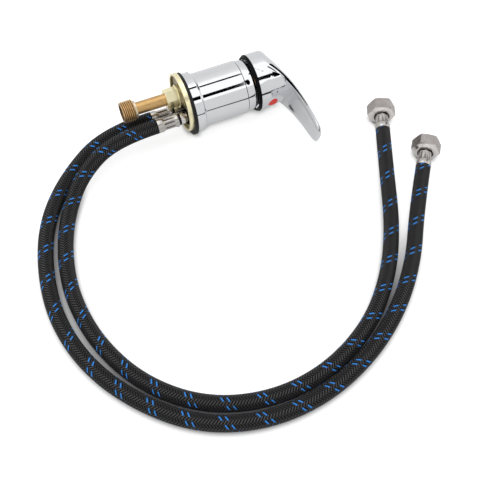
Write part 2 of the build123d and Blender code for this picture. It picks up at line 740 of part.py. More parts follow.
# Where things lie on the table
roll = radians(OUTLET_ROLL)
lying = Plane(origin=(0, 0, GASKET_RADIUS), x_dir=(0, sin(roll), -cos(roll)), z_dir=(1, 0, 0)).location
levered = lying * Rot(0, 0, -90 - LEVER_STOP)
skirted = levered * Pos(0, 0, skirt_height)
at_outlet = lying * Pos(0, OUTLET_OFFSET, 0)
at_plate = lying * Pos(0, PLATE_SHIFT, 0)
at_hot = lying * Pos(-inlet_x, inlet_y, 0)
at_cold = lying * Pos(inlet_x, inlet_y, 0)


def nut_place(end, heading):
    """Frame at a hose's far end, Z along the hose, a flat of the nut on the table."""
    along = (cos(radians(heading)), sin(radians(heading)), 0)
    across = (-along[1], along[0], 0)
    return Plane(origin=(*end, nut_height), x_dir=across, z_dir=along).location


def hose_route(port, start_run, bends, end, heading, end_run):
    """Corner points of a hose from its ferrule at the faucet to its far end."""
    start = (port * Pos(0, 0, -hose_start)).position
    along = Vector(cos(radians(heading)), sin(radians(heading)), 0)
    finish = Vector(*end, nut_height)
    corners = [start, start - Vector(start_run, 0, 0)]
    corners += [Vector(*bend) for bend in bends]
    corners += [finish - along * end_run, finish]
    return corners


def bend_radii(corners):
    """Radius at each corner, from the shorter run and the turn."""
    radii = []
    for before, corner, after in zip(corners, corners[1:], corners[2:]):
        into = corner - before
        out = after - corner
        turn = radians(into.get_angle(out))
        radii.append(BEND_SHARE * min(into.length, out.length) / tan(turn / 2))
    return radii


hot_nut_place = nut_place(HOT_END, HOT_HEADING)
cold_nut_place = nut_place(COLD_END, COLD_HEADING)
hot_route = hose_route(at_hot, HOT_START_RUN, HOT_BENDS, HOT_END, HOT_HEADING, HOT_END_RUN)
cold_route = hose_route(at_cold, COLD_START_RUN, COLD_BENDS, COLD_END, COLD_HEADING, COLD_END_RUN)
hot_radii = bend_radii(hot_route)
cold_radii = bend_radii(cold_route)

with BuildPart() as hot_hose:
    with BuildLine():
        hot_line = FilletPolyline(*hot_route, radius=hot_radii)
    with BuildSketch(Plane(origin=hot_line @ 0, z_dir=hot_line % 0)):
        Circle(HOSE_RADIUS)
    sweep(path=hot_line)

with BuildPart() as cold_hose:
    with BuildLine():
        cold_line = FilletPolyline(*cold_route, radius=cold_radii)
    with BuildSketch(Plane(origin=cold_line @ 0, z_dir=cold_line % 0)):
        Circle(HOSE_RADIUS)
    sweep(path=cold_line)

print("hot bend radii", [round(r) for r in hot_radii], "length", round(hot_line.length, 1))
print("cold bend radii", [round(r) for r in cold_radii], "length", round(cold_line.length, 1))

faucet_pieces = {
    "faucet_body": (faucet_body, lying),
    "base_gasket": (base_gasket, lying),
    "clamp_plate": (clamp_plate, at_plate),
    "fixing_nut": (fixing_nut, at_outlet),
    "outlet_tube": (outlet_tube, at_outlet),
    "cartridge_base": (cartridge_base, lying),
    "cartridge_seals": (cartridge_seals, lying),
    "fixed_disc": (fixed_disc, lying),
    "moving_disc": (moving_disc, levered),
    "disc_driver": (disc_driver, levered),
    "cartridge_housing": (cartridge_housing, lying),
    "cartridge_guide": (cartridge_guide, levered),
    "stem_pin": (stem_pin, levered),
    "lever_stem": (lever_stem, levered),
    "cartridge_nut": (cartridge_nut, lying),
    "bonnet": (bonnet, lying),
    "lever_handle": (lever_handle, skirted),
    "skirt_ring": (skirt_ring, levered),
    "indicator_plug": (indicator_plug, levered),
    "handle_screw": (handle_screw, levered),
}
hose_pieces = {
    "hot_inlet_tail": (inlet_tail, at_hot),
    "hot_inlet_seal": (inlet_seal, at_hot),
    "hot_inlet_ferrule": (inlet_ferrule, at_hot),
    "hot_hose": (hot_hose, Location()),
    "hot_nut_ferrule": (nut_ferrule, hot_nut_place),
    "hot_nut_tail": (nut_tail, hot_nut_place),
    "hot_nut_washer": (nut_washer, hot_nut_place),
    "hot_swivel_nut": (swivel_nut, hot_nut_place),
    "cold_inlet_tail": (inlet_tail, at_cold),
    "cold_inlet_seal": (inlet_seal, at_cold),
    "cold_inlet_ferrule": (inlet_ferrule, at_cold),
    "cold_hose": (cold_hose, Location()),
    "cold_nut_ferrule": (nut_ferrule, cold_nut_place),
    "cold_nut_tail": (nut_tail, cold_nut_place),
    "cold_nut_washer": (nut_washer, cold_nut_place),
    "cold_swivel_nut": (swivel_nut, cold_nut_place),
}

# The faucet's box without its hoses sets the origin: middle of the box, on the table
faucet_solids = [piece.part.moved(place) for piece, place in faucet_pieces.values()]
faucet_box = Compound(children=faucet_solids).bounding_box()
home = Pos(-faucet_box.center().X, -faucet_box.center().Y, -faucet_box.min.Z)
print("moved by", home.position)

os.makedirs("parts", exist_ok=True)
for name, (piece, place) in {**faucet_pieces, **hose_pieces}.items():
    solid = piece.part.moved(home * place)
    solid.label = name
    export_step(solid, f"parts/{name}.step")
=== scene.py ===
import math

import bmesh
import bpy
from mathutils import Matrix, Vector


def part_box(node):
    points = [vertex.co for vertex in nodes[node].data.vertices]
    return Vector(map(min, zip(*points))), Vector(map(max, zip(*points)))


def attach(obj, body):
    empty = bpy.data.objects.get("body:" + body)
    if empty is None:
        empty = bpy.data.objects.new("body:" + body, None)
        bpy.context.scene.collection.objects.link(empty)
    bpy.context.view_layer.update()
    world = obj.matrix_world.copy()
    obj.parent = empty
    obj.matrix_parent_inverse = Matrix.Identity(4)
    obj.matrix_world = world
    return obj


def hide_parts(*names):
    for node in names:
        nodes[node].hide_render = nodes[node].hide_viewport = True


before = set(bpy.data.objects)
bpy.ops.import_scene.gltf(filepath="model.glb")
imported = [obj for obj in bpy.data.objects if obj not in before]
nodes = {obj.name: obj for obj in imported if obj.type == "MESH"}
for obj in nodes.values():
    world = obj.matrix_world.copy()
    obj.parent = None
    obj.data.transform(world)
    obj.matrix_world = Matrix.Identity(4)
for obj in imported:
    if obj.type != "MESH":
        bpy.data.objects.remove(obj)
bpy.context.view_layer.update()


# Body and bonnet: a turned brass barrel on a stepped base, with a screwed cap above the seam.
# Both are polished and chrome plated, so they show little but the room around them.

class Wire:
    """A socket in a node tree; arithmetic on it adds Math nodes."""

    def __init__(self, tree, socket=None):
        self.tree = tree
        self.socket = socket

    def node(self, kind, settings=None, inputs=None, out=0):
        """Adds a node: its settings first, then its sockets, then returns one output."""
        made = self.tree.nodes.new(kind)
        for key, value in (settings or {}).items():
            if key == "stops":
                ramp = made.color_ramp.elements
                while len(ramp) < len(value):
                    ramp.new(1.0)
                for stop, (position, colour) in zip(ramp, value):
                    stop.position = position
                    stop.color = (*colour, 1.0)
            else:
                setattr(made, key, value)
        for key, value in (inputs or {}).items():
            if isinstance(value, Wire):
                self.tree.links.new(value.socket, made.inputs[key])
            else:
                made.inputs[key].default_value = value
        return Wire(self.tree, made.outputs[out] if made.outputs else None)

    def math(self, operation, *values):
        return self.node("ShaderNodeMath", {"operation": operation}, dict(enumerate(values)))

    def __add__(self, other):
        return self.math("ADD", self, other)

    def __sub__(self, other):
        return self.math("SUBTRACT", self, other)

    def __rsub__(self, other):
        return self.math("SUBTRACT", other, self)

    def __mul__(self, other):
        return self.math("MULTIPLY", self, other)

    def __truediv__(self, other):
        return self.math("DIVIDE", self, other)

    def __mod__(self, other):
        return self.math("FLOORED_MODULO", self, other)

    def __pow__(self, other):
        return self.math("POWER", self, other)

    def __lt__(self, other):
        return self.math("LESS_THAN", self, other)

    def __gt__(self, other):
        return self.math("GREATER_THAN", self, other)

    def __abs__(self):
        return self.math("ABSOLUTE", self)

    __radd__ = __add__
    __rmul__ = __mul__


def new_finish(name):
    """An empty material and the handle that adds nodes to it."""
    material = bpy.data.materials.new(name)
    material.use_nodes = True
    material.node_tree.nodes.clear()
    return material, Wire(material.node_tree)


def close_finish(tree, colour, roughness, metallic=0.0, bump=None, **constants):
    """Ends a material in a Principled shader."""
    inputs = {"Base Color": colour, "Roughness": roughness, "Metallic": metallic}
    if bump is not None:
        inputs["Normal"] = bump
    inputs.update({key.replace("_", " "): value for key, value in constants.items()})
    shader = tree.node("ShaderNodeBsdfPrincipled", None, inputs)
    tree.node("ShaderNodeOutputMaterial", None, {"Surface": shader})


def speckle(tree, scale, detail=3.0, stretch=(1.0, 1.0, 1.0)):
    """Noise fixed to the piece, in metres, from 0 to 1."""
    place = tree.node("ShaderNodeTexCoord", None, None, "Object")
    place = tree.node("ShaderNodeMapping", None, {"Vector": place, "Scale": stretch})
    return tree.node("ShaderNodeTexNoise", None, {"Vector": place, "Scale": scale, "Detail": detail})


def blend(tree, amount, first, second):
    """Mix of two colours."""
    return tree.node(
        "ShaderNodeMix", {"data_type": "RGBA"}, {"Factor": amount, 6: first, 7: second}, 2
    )


def dress(material, *names):
    """Gives CAD nodes a finish."""
    for name in names:
        for place in nodes[name].material_slots:
            place.material = material


CHROME_TINT = (0.74, 0.75, 0.77, 1.0)
CHROME_HAZE = (0.69, 0.70, 0.72, 1.0)
PAINTED_SEAM_SHADE = (0.10, 0.10, 0.11, 1.0)
SEAM_HALF = 0.00035
seam_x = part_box("bonnet")[0][0]


def plating(name, seam_shaded):
    """Polished chrome, with a painted shade line along the seam of the body."""
    material, tree = new_finish(name)
    film = speckle(tree, scale=60.0)
    tone = blend(tree, film, CHROME_TINT, CHROME_HAZE)
    if seam_shaded:
        place = tree.node("ShaderNodeTexCoord", None, None, "Object")
        along = tree.node("ShaderNodeSeparateXYZ", None, {"Vector": place}, "X")
        # A thin band at the seam is darkened: painted shade for the groove between body and bonnet.
        tone = blend(tree, abs(along - seam_x) < SEAM_HALF, tone, PAINTED_SEAM_SHADE)
    close_finish(tree, tone, roughness=0.03 + film * 0.03, metallic=1.0)
    return material


dress(plating("body_chrome", seam_shaded=True), "faucet_body", "bonnet")


# Gasket and seals: moulded black rubber rings, the gasket squeezed between the base and the deck.
# The tail seals and the nut washers are of the same rubber.

RUBBER = (0.004, 0.004, 0.005, 1.0)
RUBBER_WORN = (0.014, 0.014, 0.015, 1.0)
rubber, tree = new_finish("black_rubber")
grain = speckle(tree, scale=900.0)
skin = tree.node("ShaderNodeBump", None, {"Strength": 0.25, "Distance": 0.0002, "Height": grain})
close_finish(
    tree,
    blend(tree, grain, RUBBER, RUBBER_WORN),
    roughness=0.5 + grain * 0.2,
    bump=skin,
    Specular_IOR_Level=0.25,
)
dress(rubber, "base_gasket", "cartridge_seals")
for side in ("hot", "cold"):
    dress(rubber, f"{side}_inlet_seal", f"{side}_nut_washer")


# Clamp plate and fixing nut: a pressed dish and a flanged hexagon nut of pale plated brass.
# The nut runs on the outlet tube and pulls the dish up under the deck.

PALE_BRASS = (0.90, 0.81, 0.50, 1.0)
PALE_BRASS_LIGHT = (1.0, 0.94, 0.66, 1.0)
PAINTED_DISH_SHADE = (0.16, 0.125, 0.06, 1.0)
DISH_LIP = 0.0012
DISH_RADIUS = 0.0268
INNER_SHADE_SHARE = 0.9
plate_low, plate_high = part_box("clamp_plate")
dish_x = plate_low[0] + DISH_LIP
plate_y = (plate_low[1] + plate_high[1]) / 2
plate_z = (plate_low[2] + plate_high[2]) / 2


def plated_brass(name, dish_shaded):
    """Pale brass with fine turning lines, with painted shade inside the dish."""
    material, tree = new_finish(name)
    tarnish = speckle(tree, scale=120.0)
    lathe_lines = speckle(tree, scale=1.0, detail=2.0, stretch=(4000.0, 60.0, 60.0))
    cut = tree.node("ShaderNodeBump", None, {"Strength": 0.12, "Distance": 0.0001, "Height": lathe_lines})
    tone = blend(tree, tarnish, PALE_BRASS, PALE_BRASS_LIGHT)
    # Inside the dish the colour is darkened: painted shade where the inside of the dish would fall in
    # shadow.
    if dish_shaded:
        place = tree.node("ShaderNodeTexCoord", None, None, "Object")
        inward = tree.node("ShaderNodeSeparateXYZ", None, {"Vector": place}, "X") - dish_x
        level = tree.node("ShaderNodeSeparateXYZ", None, {"Vector": place}, "Y") - plate_y
        height = tree.node("ShaderNodeSeparateXYZ", None, {"Vector": place}, "Z") - plate_z
        out = tree.math("SQRT", level * level + height * height)
        shaded_inside = (inward > 0.0) * (out < DISH_RADIUS)
        tone = blend(tree, shaded_inside * INNER_SHADE_SHARE, tone, PAINTED_DISH_SHADE)
    close_finish(tree, tone, roughness=0.22 + tarnish * 0.16, metallic=1.0, bump=cut)
    return material


dress(plated_brass("dish_brass", dish_shaded=True), "clamp_plate")
dress(plated_brass("nut_brass", dish_shaded=False), "fixing_nut")


# Outlet tube: a drawn brass tube screwed into the body, with a pipe thread cut on its head.
# The head takes the nut of the spray hose, so the thread is the piece's only fine form.

TUBE_BRASS = (0.46, 0.27, 0.10, 1.0)
TUBE_BRASS_LIGHT = (0.70, 0.47, 0.21, 1.0)
HEAD_BRASS = (0.86, 0.64, 0.36, 1.0)
PAINTED_GROOVE_SHADE = (0.30, 0.175, 0.07, 1.0)
SOLDER = (0.72, 0.66, 0.54, 1.0)
SOLDER_SHARE = 0.75
SOLDER_REACH = 0.8
SOLDER_WAVER = 0.4
HEAD_LENGTH = 0.0122
HEAD_BORE = 0.0075
HEAD_CHAMFER = 0.0009
STEP_RADIUS = 0.0082
STEP_LENGTH = 0.0019
TUBE_RADIUS = 0.00595
TUBE_BORE = 0.0045
THREAD_PITCH = 0.001814
THREAD_DEPTH = 0.00116
THREAD_STEPS = 12
TUBE_SIDES = 96
SHARP_EDGE = math.radians(50.0)
tube_low, tube_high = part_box("outlet_tube")
tube_y = (tube_low[1] + tube_high[1]) / 2
tube_z = (tube_low[2] + tube_high[2]) / 2
head_radius = (tube_high[2] - tube_low[2]) / 2
tube_length = tube_high[0] - tube_low[0]


def thread_radius(along, turn):
    """Radius of the cut head: rounded ridges on a helix, chamfered at both ends."""
    ridge = 0.5 + 0.5 * math.cos(math.tau * (along / THREAD_PITCH - turn))
    chamfered = head_radius - HEAD_CHAMFER + min(along, HEAD_LENGTH - along)
    return min(head_radius - THREAD_DEPTH * (1.0 - ridge), chamfered)


thread_rings = int(HEAD_LENGTH / THREAD_PITCH * THREAD_STEPS)
tube_profile = [(0.0, HEAD_BORE)]
tube_profile += [(HEAD_LENGTH * ring / thread_rings, None) for ring in range(thread_rings + 1)]
tube_profile += [
    (HEAD_LENGTH, STEP_RADIUS),
    (HEAD_LENGTH + STEP_LENGTH, STEP_RADIUS),
    (HEAD_LENGTH + STEP_LENGTH, TUBE_RADIUS),
    (tube_length, TUBE_RADIUS),
    (tube_length, TUBE_BORE),
    (HEAD_LENGTH, TUBE_BORE),
    (HEAD_LENGTH, HEAD_BORE),
]
work = bmesh.new()
rings = []
for along, radius in tube_profile:
    ring = []
    for step in range(TUBE_SIDES):
        turn = step / TUBE_SIDES
        reach = thread_radius(along, turn) if radius is None else radius
        angle = math.tau * turn
        ring.append(
            work.verts.new(
                (tube_low[0] + along, tube_y + reach * math.cos(angle), tube_z + reach * math.sin(angle))
            )
        )
    rings.append(ring)
for ring, following in zip(rings, rings[1:] + rings[:1]):
    for step in range(TUBE_SIDES):
        after = (step + 1) % TUBE_SIDES
        work.faces.new((ring[step], following[step], following[after], ring[after])).smooth = True
bmesh.ops.recalc_face_normals(work, faces=work.faces)
tube_mesh = bpy.data.meshes.new("threaded_tube")
work.to_mesh(tube_mesh)
work.free()
tube_mesh.set_sharp_from_angle(angle=SHARP_EDGE)
threaded_tube = bpy.data.objects.new("threaded_tube", tube_mesh)
bpy.context.scene.collection.objects.link(threaded_tube)

brass, tree = new_finish("machined_brass")
tarnish = speckle(tree, scale=150.0)
lathe_lines = speckle(tree, scale=1.0, detail=2.0, stretch=(5000.0, 80.0, 80.0))
cut = tree.node("ShaderNodeBump", None, {"Strength": 0.15, "Distance": 0.0001, "Height": lathe_lines})
place = tree.node("ShaderNodeTexCoord", None, None, "Object")
along = tree.node("ShaderNodeSeparateXYZ", None, {"Vector": place}, "X") - tube_low[0]
past_head = along > HEAD_LENGTH - HEAD_CHAMFER / 2
level = tree.node("ShaderNodeSeparateXYZ", None, {"Vector": place}, "Y") - tube_y
height = tree.node("ShaderNodeSeparateXYZ", None, {"Vector": place}, "Z") - tube_z
# The thread's roots are darkened by their depth below the crests: painted shade in the grooves of the
# thread.
depth = head_radius - tree.math("SQRT", level * level + height * height)
root_shade = (1.0 - past_head) * tree.math("MINIMUM", depth / THREAD_DEPTH, 1.0)
solder_end = HEAD_LENGTH + STEP_LENGTH * (SOLDER_REACH + tarnish * SOLDER_WAVER)
soldered = past_head * (along < solder_end)
brass_tone = blend(tree, tarnish, TUBE_BRASS, TUBE_BRASS_LIGHT)
brass_tone = blend(tree, root_shade, blend(tree, past_head, HEAD_BRASS, brass_tone), PAINTED_GROOVE_SHADE)
brass_tone = blend(tree, soldered * SOLDER_SHARE, brass_tone, SOLDER)
close_finish(tree, brass_tone, roughness=0.26 + tarnish * 0.2, metallic=1.0, bump=cut)
tube_mesh.materials.append(brass)
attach(threaded_tube, "faucet")
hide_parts("outlet_tube")


# Cartridge: a plastic case with a turning guide, a driver and two ground ceramic discs.
# A brass ring screws it down in the body, and a brass stem on a steel pin works it.
# It is hidden there and seen only when the faucet is taken apart.

CASE_GREY = (0.28, 0.28, 0.29, 1.0)
CASE_GREY_LIGHT = (0.34, 0.34, 0.35, 1.0)
ACETAL = (0.72, 0.72, 0.69, 1.0)
ACETAL_LIGHT = (0.80, 0.80, 0.77, 1.0)
CERAMIC = (0.80, 0.79, 0.75, 1.0)
CERAMIC_LIGHT = (0.86, 0.85, 0.82, 1.0)
STEEL = (0.38, 0.36, 0.34, 1.0)
STEEL_LIGHT = (0.60, 0.575, 0.55, 1.0)


def moulding(name, dark, light, rough, shine=0.4):
    """Satin moulded plastic."""
    material, tree = new_finish(name)
    grain = speckle(tree, scale=500.0)
    skin = tree.node("ShaderNodeBump", None, {"Strength": 0.1, "Distance": 0.0001, "Height": grain})
    close_finish(
        tree,
        blend(tree, grain, dark, light),
        roughness=rough + grain * 0.1,
        bump=skin,
        Specular_IOR_Level=shine,
    )
    return material


case_grey = moulding("cartridge_grey", CASE_GREY, CASE_GREY_LIGHT, rough=0.4)
acetal_white = moulding("acetal_white", ACETAL, ACETAL_LIGHT, rough=0.35)
ceramic_white = moulding("ceramic_white", CERAMIC, CERAMIC_LIGHT, rough=0.12)
dress(case_grey, "cartridge_housing", "cartridge_guide")
dress(acetal_white, "cartridge_base", "disc_driver")
dress(ceramic_white, "fixed_disc", "moving_disc")

inner_brass, tree = new_finish("plain_brass")
tarnish = speckle(tree, scale=150.0)
inner_tone = blend(tree, tarnish, TUBE_BRASS, TUBE_BRASS_LIGHT)
close_finish(tree, inner_tone, roughness=0.25 + tarnish * 0.2, metallic=1.0)
dress(inner_brass, "cartridge_nut", "lever_stem")

pin_steel, tree = new_finish("pin_steel")
cloud = speckle(tree, scale=220.0)
pin_tone = blend(tree, cloud, STEEL, STEEL_LIGHT)
close_finish(tree, pin_tone, roughness=0.2 + cloud * 0.14, metallic=1.0)
dress(pin_steel, "stem_pin")


# Lever: a cast zinc hood with a long thin blade, plated like the body.
# A black ring closes the gap to the bonnet, and a red plug covers the set screw.

SKIRT_BLACK = (0.001, 0.001, 0.002, 1.0)
SKIRT_BLACK_LIGHT = (0.003, 0.003, 0.004, 1.0)
PLUG_RED = (0.90, 0.030, 0.022, 1.0)
PLUG_RED_LIGHT = (0.97, 0.050, 0.038, 1.0)
satin_black = moulding("skirt_black", SKIRT_BLACK, SKIRT_BLACK_LIGHT, rough=0.36, shine=0.06)
bright_red = moulding("plug_red", PLUG_RED, PLUG_RED_LIGHT, rough=0.3, shine=0.2)
dress(plating("lever_chrome", seam_shaded=False), "lever_handle")
dress(satin_black, "skirt_ring")
dress(bright_red, "indicator_plug")
dress(pin_steel, "handle_screw")


# Hose ends: crimped stainless sleeves, nickel-plated tails and hexagon swivel nuts.
# The tails screw into the body; the nuts turn freely behind the flange of their own tails.
# Each sleeve has a plain mouth over the braid and is pressed in eight flutes onto its tail.

NUT_SLEEVE = (
    (0.0, 0.0037, 0.0),
    (0.0, 0.0070, 0.0),
    (0.0003, 0.00715, 0.0),
    (0.0050, 0.00715, 0.0),
    (0.0058, 0.0068, 0.0),
    (0.0072, 0.0062, 0.0),
    (0.0086, 0.0062, 0.0007),
    (0.0138, 0.0062, 0.0007),
    (0.0150, 0.0063, 0.0),
    (0.0200, 0.0063, 0.0),
    (0.0200, 0.0037, 0.0),
)
INLET_SLEEVE = (
    (0.0, 0.0037, 0.0),
    (0.0, 0.0067, 0.0),
    (0.0003, 0.0069, 0.0),
    (0.0048, 0.0069, 0.0),
    (0.0056, 0.0066, 0.0),
    (0.0066, 0.0061, 0.0),
    (0.0078, 0.0061, 0.0012),
    (0.0160, 0.0061, 0.0012),
    (0.0178, 0.0061, 0.0),
    (0.0192, 0.0067, 0.0),
    (0.0202, 0.0069, 0.0),
    (0.0210, 0.0066, 0.0),
    (0.0210, 0.0037, 0.0),
)
SLEEVE_FLUTES = 8
FLUTE_DEPTH = 0.0012
SLEEVE_SIDES = 96
PAINTED_FLUTE_SHADE = (0.07, 0.062, 0.058, 1.0)
deck_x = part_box("base_gasket")[0][0]
axis_y = (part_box("base_gasket")[0][1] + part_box("base_gasket")[1][1]) / 2
HOT_ROUTE = (
    (-0.033, -0.0129, 0.0271),
    (-0.075, -0.0129, 0.0271),
    (-0.114, -0.029, 0.014),
    (-0.140, -0.063, 0.007),
    (-0.155, -0.104, 0.007),
    (-0.161, -0.148, 0.007),
    (-0.154, -0.198, 0.007),
    (-0.131, -0.246, 0.007),
    (-0.091, -0.283, 0.007),
    (-0.039, -0.299, 0.007),
    (0.014, -0.294, 0.007),
    (0.064, -0.270, 0.007),
    (0.101, -0.233, 0.007),
    (0.129, -0.188, 0.007),
    (0.151, -0.13385, 0.012),
    (0.1705, -0.090, 0.012),
)
COLD_ROUTE = (
    (-0.033, 0.0053, 0.0182),
    (-0.080, 0.0053, 0.0182),
    (-0.129, -0.0225, 0.007),
    (-0.1605, -0.0645, 0.007),
    (-0.176, -0.115, 0.007),
    (-0.1795, -0.165, 0.007),
    (-0.167, -0.216, 0.007),
    (-0.139, -0.2605, 0.007),
    (-0.101, -0.2955, 0.007),
    (-0.053, -0.313, 0.007),
    (-0.001, -0.3125, 0.007),
    (0.049, -0.2955, 0.007),
    (0.092, -0.267, 0.007),
    (0.128, -0.229, 0.007),
    (0.155, -0.18495, 0.012),
    (0.1844, -0.1445, 0.012),
)
steel, tree = new_finish("crimped_steel")
cloud = speckle(tree, scale=220.0)
# The flute depth kept on the sleeve's corners darkens the steel: painted shade in the flutes of the
# sleeve.
sunk = tree.node("ShaderNodeAttribute", {"attribute_name": "flute"}, None, "Fac")
steel_tone = blend(tree, sunk, blend(tree, cloud, STEEL, STEEL_LIGHT), PAINTED_FLUTE_SHADE)
close_finish(tree, steel_tone, roughness=0.2 + cloud * 0.14, metallic=1.0)


def hose_line(route):
    """Points along the smooth line that a route's corners steer."""
    curve = bpy.data.curves.new("hose_line", "CURVE")
    curve.dimensions = "3D"
    spline = curve.splines.new("NURBS")
    spline.points.add(len(route) - 1)
    for point, (x, y, z) in zip(spline.points, route):
        point.co = (x + deck_x, y + axis_y, z, 1.0)
    spline.order_u = 3
    spline.use_endpoint_u = True
    spline.resolution_u = 24
    carrier = bpy.data.objects.new("hose_line", curve)
    bpy.context.scene.collection.objects.link(carrier)
    mesh = bpy.data.meshes.new_from_object(carrier)
    points = [vertex.co.copy() for vertex in mesh.vertices]
    bpy.data.objects.remove(carrier)
    bpy.data.meshes.remove(mesh)
    return points


def crimped_sleeve(name, start, ahead, profile):
    """Sleeve with a plain mouth over the braid and a fluted crimp beyond it."""
    side = Vector((0.0, 0.0, 1.0))
    across = ahead.cross(side)
    work = bmesh.new()
    flutes = work.verts.layers.float.new("flute")
    rings = []
    for along, radius, flute in profile:
        ring = []
        for step in range(SLEEVE_SIDES):
            angle = math.tau * step / SLEEVE_SIDES
            sunk = flute * (0.5 + 0.5 * math.cos(SLEEVE_FLUTES * angle)) ** 2
            spoke = side * math.cos(angle) + across * math.sin(angle)
            corner = work.verts.new(start + ahead * along + spoke * (radius - sunk))
            # The depth is kept for the material, which paints shade into the flutes from it.
            corner[flutes] = sunk / FLUTE_DEPTH
            ring.append(corner)
        rings.append(ring)
    for ring, following in zip(rings, rings[1:] + rings[:1]):
        for step in range(SLEEVE_SIDES):
            after = (step + 1) % SLEEVE_SIDES
            work.faces.new((ring[step], ring[after], following[after], following[step])).smooth = True
    bmesh.ops.recalc_face_normals(work, faces=work.faces)
    mesh = bpy.data.meshes.new(name)
    work.to_mesh(mesh)
    work.free()
    mesh.set_sharp_from_angle(angle=SHARP_EDGE)
    mesh.materials.append(steel)
    sleeve = bpy.data.objects.new(name, mesh)
    bpy.context.scene.collection.objects.link(sleeve)
    return sleeve


hose_lines = {"hot": hose_line(HOT_ROUTE), "cold": hose_line(COLD_ROUTE)}
sleeves = {"hot": [], "cold": []}
for side, points in hose_lines.items():
    for end, start, before, profile in (
        ("inlet", points[0], points[1], INLET_SLEEVE),
        ("nut", points[-1], points[-2], NUT_SLEEVE),
    ):
        sleeve = crimped_sleeve(f"{side}_{end}_sleeve", start, (start - before).normalized(), profile)
        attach(sleeve, "faucet")
        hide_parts(f"{side}_{end}_ferrule")
        sleeves[side].append(sleeve)

NICKEL = (0.56, 0.535, 0.52, 1.0)
NICKEL_LIGHT = (0.80, 0.775, 0.76, 1.0)
FLAT_SHADE_NICKEL = (0.27, 0.245, 0.235, 1.0)
FLAT_SHADE_NICKEL_PALE = (0.45, 0.42, 0.41, 1.0)
NUT_HEADINGS = {"hot": math.radians(66.0), "cold": math.radians(54.0)}
TURNED_FROM = 0.2


def nickel_plate(name, heading):
    """Bright nickel on turned faces; flats along the heading are painted darker, as painted shade."""
    material, tree = new_finish(name)
    cloud = speckle(tree, scale=160.0)
    skin = tree.node("ShaderNodeBump", None, {"Strength": 0.1, "Distance": 0.0002, "Height": cloud})
    facing = tree.node("ShaderNodeTexCoord", None, None, "Normal")
    aside = tree.node("ShaderNodeSeparateXYZ", None, {"Vector": facing}, "X") * math.cos(heading)
    ahead = tree.node("ShaderNodeSeparateXYZ", None, {"Vector": facing}, "Y") * math.sin(heading)
    turned = abs(aside + ahead) > TURNED_FROM
    # The flats take a darker nickel: painted shade that parts the flats from the bright chamfers.
    painted_flat_shade = blend(tree, cloud, FLAT_SHADE_NICKEL, FLAT_SHADE_NICKEL_PALE)
    turned_tone = blend(tree, cloud, NICKEL, NICKEL_LIGHT)
    nut_tone = blend(tree, turned, painted_flat_shade, turned_tone)
    close_finish(tree, nut_tone, roughness=0.2 + cloud * 0.12, metallic=1.0, bump=skin)
    return material


bright_nickel, tree = new_finish("bright_nickel")
cloud = speckle(tree, scale=160.0)
tail_tone = blend(tree, cloud, NICKEL, NICKEL_LIGHT)
close_finish(tree, tail_tone, roughness=0.12 + cloud * 0.12, metallic=1.0)
for side, heading in NUT_HEADINGS.items():
    dress(bright_nickel, f"{side}_inlet_tail", f"{side}_nut_tail")
    dress(nickel_plate(f"{side}_nut_nickel", heading), f"{side}_swivel_nut")


# Hoses: rubber tube in a black nylon braid, twelve yarns each way, two over and two under.
# Each carrier lays two ends; one end on two of the carriers is blue and shows as slanting dashes.

HOSE_RADIUS = 0.007
BRAID_PITCH = 0.0307
BRAID_YARNS = 12
HOSE_SIDES = 40
YARNS_OVER = 2
YARN_ENDS = 2
TRACER_CARRIERS = (0, 2)
TRACER_WIDTH = 1.15
CREST_POWER = 4.0
LEFT_GLEAM = 0.9
RIGHT_GLEAM = 0.5
LEAST_FUZZ = 0.4
BRAID_LAY = {"hot": (1.023, 0.0056), "cold": (1.0, 0.0015)}
NYLON = (0.001, 0.001, 0.0012, 1.0)
PAINTED_YARN_GLINT = (0.110, 0.108, 0.112, 1.0)
TRACER = (0.042, 0.26, 0.76, 1.0)


def hose_tube(name, points, material, tightness, lead):
    """Round tube along points, with its length and turn kept in a map for the braid."""
    work = bmesh.new()
    braid = work.loops.layers.uv.new("braid")
    side = Vector((0.0, 0.0, 1.0))
    rings = []
    lengths = [0.0]
    for before, after in zip(points, points[1:]):
        lengths.append(lengths[-1] + (after - before).length)
    for index, point in enumerate(points):
        ahead = points[min(index + 1, len(points) - 1)] - points[max(index - 1, 0)]
        ahead.normalize()
        side = (side - ahead * side.dot(ahead)).normalized()
        across = ahead.cross(side)
        ring = []
        for step in range(HOSE_SIDES):
            angle = math.tau * step / HOSE_SIDES
            spoke = side * math.cos(angle) + across * math.sin(angle)
            ring.append(work.verts.new(point + spoke * HOSE_RADIUS))
        rings.append(ring)
    for index, (ring, following) in enumerate(zip(rings, rings[1:])):
        for step in range(HOSE_SIDES):
            turn = (step + 1) % HOSE_SIDES
            face = work.faces.new((ring[step], ring[turn], following[turn], following[step]))
            face.smooth = True
            corners = ((0, 0), (0, 1), (1, 1), (1, 0))
            for loop, (along, around) in zip(face.loops, corners):
                laid = lengths[index + along] * tightness + lead
                loop[braid].uv = (laid, (step + around) / HOSE_SIDES)
    work.faces.new(list(reversed(rings[0])))
    work.faces.new(rings[-1])
    mesh = bpy.data.meshes.new(name)
    work.to_mesh(mesh)
    work.free()
    mesh.materials.append(material)
    tube = bpy.data.objects.new(name, mesh)
    bpy.context.scene.collection.objects.link(tube)
    return tube, lengths[-1]


